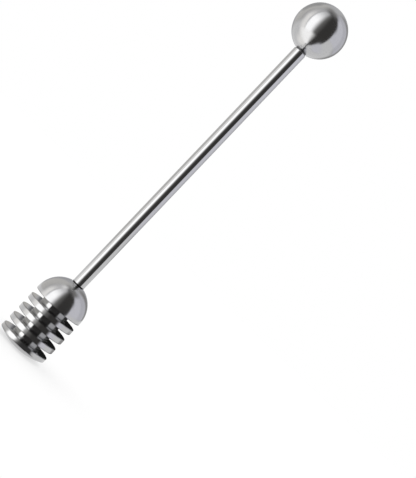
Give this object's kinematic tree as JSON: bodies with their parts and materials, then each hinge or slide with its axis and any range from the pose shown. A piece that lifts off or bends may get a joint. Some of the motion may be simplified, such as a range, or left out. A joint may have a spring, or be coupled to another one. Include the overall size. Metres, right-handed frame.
{
  "type": "honey dipper",
  "caption": "Stainless steel honey dipper: a grooved head with a dome, a slim round rod handle and a ball knob, standing on the head's flat tip.",
  "frame": {"origin": "centre of the flat tip of the grooved head, on the surface it stands on", "axes": "+Z along the rod handle towards the ball knob; the part is a solid of revolution about Z"},
  "size_m": [0.02, 0.02, 0.164],
  "materials": {
    "satin_steel": "satin, with fine turning marks round the axis",
    "polished_steel": "polished"
  },
  "bodies": {
    "root": {"dipper_head": "satin_steel", "handle_rod": "polished_steel", "ball_knob": "satin_steel"}
  },
  "joints": []
}
